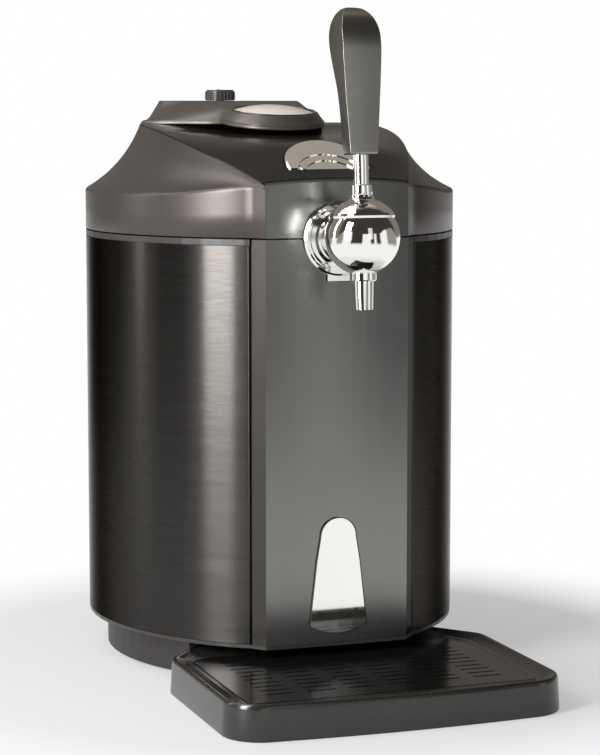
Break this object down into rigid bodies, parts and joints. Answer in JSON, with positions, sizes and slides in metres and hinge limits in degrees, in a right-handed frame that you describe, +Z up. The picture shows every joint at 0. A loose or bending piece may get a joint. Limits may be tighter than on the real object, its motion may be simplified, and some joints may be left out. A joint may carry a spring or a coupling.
{
  "type": "pressurized growler dispenser",
  "caption": "Oval countertop beer dispenser: hinged lid with latch, gauge and regulator, front column with a tap, drip tray with grate, steel growler in a cold well.",
  "frame": {"origin": "centre of the footprint on the counter: midway between the left and right sides of the oval body, and midway between the drip tray front edge and the rear hinge knuckles", "axes": "+X to the right seen from the tap, +Y to the rear, +Z up"},
  "size_m": [0.276, 0.4674, 0.4801],
  "materials": {
    "rubber": "matt black",
    "base_plastic": "dark moulded",
    "trim_paint": "warm dark grey, satin",
    "case_plastic": "moulded black",
    "wrap_metal": "dark brushed sheet, horizontal brushing",
    "column_gloss": "glossy dark grey",
    "chrome": "polished",
    "foam": "foam",
    "well_aluminium": "drawn sheet",
    "ceramic_white": "ceramic tile",
    "rear_plastic": "textured",
    "black_plastic": "moulded",
    "board_green": "solder mask",
    "steel": "plain",
    "growler_steel": "brushed stainless",
    "hose": "food hose",
    "brass": "plain",
    "lid_paint": "warm dark grey, satin",
    "hood_gloss": "glossy black-brown",
    "liner_plastic": "light liner",
    "console_plastic": "satin",
    "dial_black": "glossy",
    "lens": "smoky clear dome",
    "dial_face": "printed disc",
    "knob_plastic": "satin, fluted",
    "zinc": "cast zinc",
    "handle_black": "satin",
    "tray_plastic": "satin moulded",
    "grate_gloss": "glossy"
  },
  "bodies": {
    "base": {"rubber_feet": "rubber", "base_plate": "base_plastic", "pedestal": "base_plastic", "bottom_ring": "trim_paint", "inner_case": "case_plastic", "left_wrap": "wrap_metal", "right_wrap": "wrap_metal", "trim_ring": "trim_paint", "column_panel": "column_gloss", "column_insert": "chrome", "insulation": "foam", "cold_well": "well_aluminium", "cold_block": "well_aluminium", "peltier_module": "ceramic_white", "heat_sink": "well_aluminium", "fan_frame": "black_plastic", "rear_cover": "rear_plastic", "power_jack": "black_plastic", "control_board": "board_green", "hinge_bracket": "trim_paint", "hinge_pin": "steel", "rear_screws": "steel", "base_screws": "steel", "growler_bottle": "growler_steel", "growler_coupler": "black_plastic", "dip_tube": "steel", "beer_line": "hose", "tap_shank": "chrome", "shank_nut": "brass", "tap_flange": "chrome", "tap_body": "chrome", "spout_collar": "chrome", "spout": "chrome"},
    "lid": {"lid_shell": "lid_paint", "lid_front_panel": "column_gloss", "hood_panel": "hood_gloss", "lid_liner": "liner_plastic", "lid_seal": "rubber", "hinge_arms": "lid_paint", "console": "console_plastic", "dial_ring": "dial_black", "dial_lens": "lens", "dial_face": "dial_face", "regulator_valve": "zinc", "gas_cartridge": "steel", "cartridge_sleeve": "black_plastic", "gas_line": "black_plastic", "hook_bracket": "steel", "latch_spring": "steel"},
    "regulator_knob": {"regulator_knob": "knob_plastic"},
    "latch_button": {"latch_button": "chrome"},
    "latch_hook": {"latch_hook": "steel"},
    "tap_lever": {"tap_lever": "chrome", "tap_handle": "handle_black"},
    "valve_plunger": {"valve_plunger": "brass"},
    "tap_lock_tab": {"tap_lock_tab": "chrome"},
    "fan_rotor": {"fan_rotor": "black_plastic"},
    "power_switch": {"power_switch": "black_plastic"},
    "drip_tray": {"drip_tray": "tray_plastic"},
    "drip_grate": {"drip_grate": "grate_gloss"}
  },
  "joints": [
    {"name": "lid_hinge", "type": "hinge", "parent": "base", "child": "lid", "pos_m": [0, 0.22924, 0.316], "axis": [-1, 0, 0], "range_deg": [0, 78]},
    {"name": "tap_lever_pull", "type": "hinge", "parent": "base", "child": "tap_lever", "pos_m": [0, -0.14068, 0.35443], "axis": [1, 0, 0], "range_deg": [0, 25]},
    {"name": "valve_plunger_slide", "type": "slide", "parent": "base", "child": "valve_plunger", "axis": [0, 0.9978, -0.0663], "range_m": [0, 0.0095]},
    {"name": "tap_lock_tab_press", "type": "slide", "parent": "base", "child": "tap_lock_tab", "axis": [0, 1, 0], "range_m": [0, 0.0025], "stiffness_N_per_m": 200},
    {"name": "drip_tray_slide", "type": "slide", "parent": "base", "child": "drip_tray", "axis": [0, -1, 0], "range_m": [0, 0.06]},
    {"name": "drip_grate_tilt", "type": "hinge", "parent": "drip_tray", "child": "drip_grate", "pos_m": [0, -0.07224, 0.0192], "axis": [-1, 0, 0], "range_deg": [0, 12]},
    {"name": "latch_press", "type": "slide", "parent": "lid", "child": "latch_button", "axis": [0, 0.5299, -0.848], "range_m": [0, 0.0022], "stiffness_N_per_m": 400, "deforming": ["latch_spring"]},
    {"name": "latch_hook_turn", "type": "hinge", "parent": "lid", "child": "latch_hook", "pos_m": [0, -0.07874, 0.342], "axis": [-1, 0, 0], "range_deg": [0, 4.2]},
    {"name": "regulator_knob_turn", "type": "hinge", "parent": "lid", "child": "regulator_knob", "pos_m": [0, 0.17826, 0.42], "axis": [0, 0, 1], "range_deg": [0, 270]},
    {"name": "fan_spin", "type": "hinge", "parent": "base", "child": "fan_rotor", "pos_m": [0, 0.19766, 0.14], "axis": [0, 1, 0], "continuous": true},
    {"name": "power_switch_rock", "type": "hinge", "parent": "base", "child": "power_switch", "pos_m": [-0.051, 0.21824, 0.058], "axis": [-1, 0, 0], "range_deg": [0, 20]}
  ],
  "couplings": [
    {"joint": "valve_plunger_slide", "follows": "tap_lever_pull", "m_per_rad": 0.021},
    {"joint": "latch_hook_turn", "follows": "latch_press", "rad_per_m": 32.9}
  ]
}
